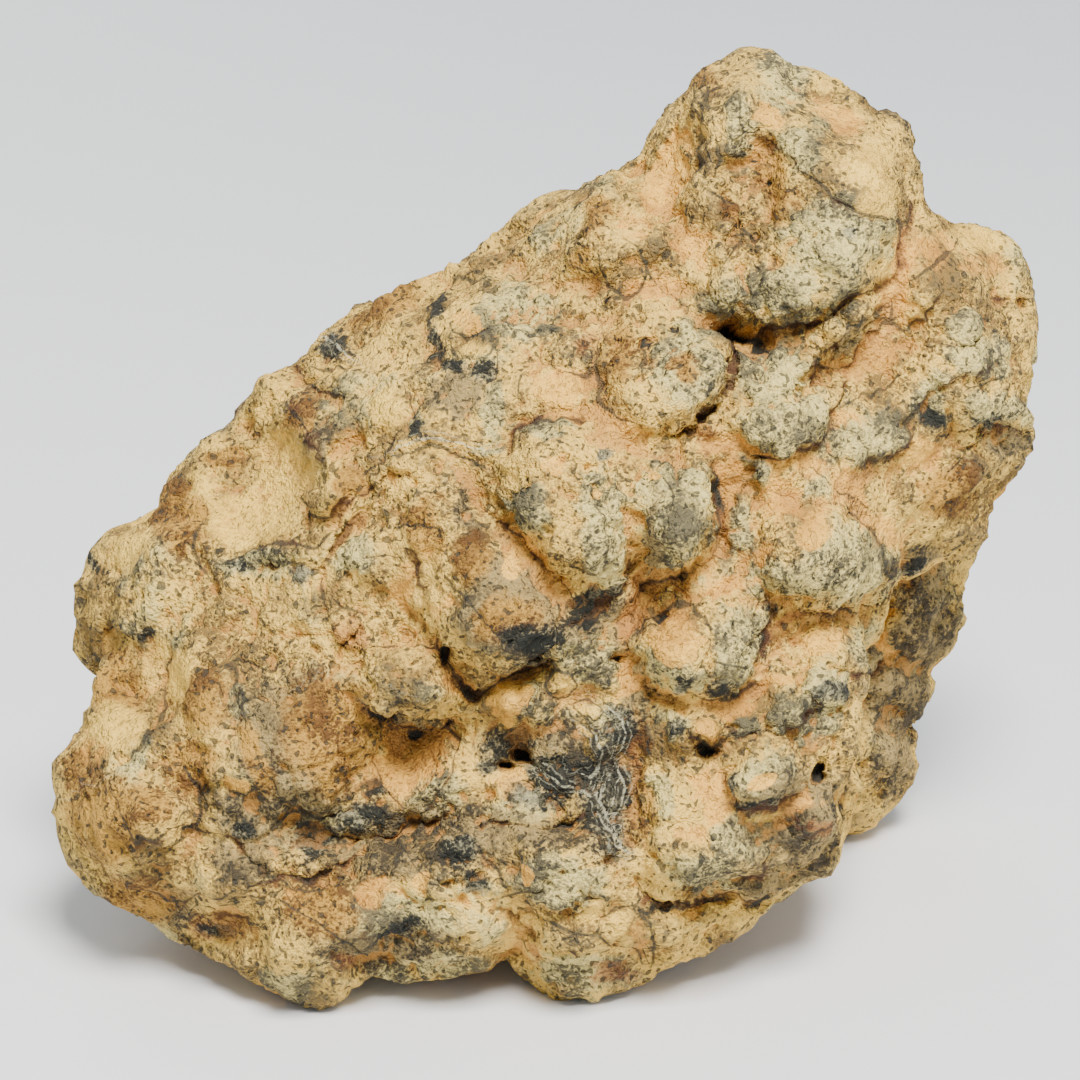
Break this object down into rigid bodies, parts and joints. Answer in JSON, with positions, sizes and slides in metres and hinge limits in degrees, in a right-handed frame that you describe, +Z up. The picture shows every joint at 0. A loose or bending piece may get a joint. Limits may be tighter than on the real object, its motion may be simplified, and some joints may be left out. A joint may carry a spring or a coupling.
{
  "type": "lunar meteorite",
  "caption": "Knobbly natural stone with a dusty cream-yellow breccia skin, lumps, pits and crevices, standing on small flat feet.",
  "frame": {"origin": "middle of the stone's footprint box, on the ground that its feet stand on", "axes": "+Z up, +X to the right of the stone's front as the picture shows it, -Y towards the viewer"},
  "size_m": [0.0992, 0.0722, 0.0839],
  "materials": {
    "breccia": "dull, dusty and pitted, cream to orange-brown with grey and near-black patches"
  },
  "bodies": {
    "root": {"meteorite": "breccia"}
  },
  "joints": []
}
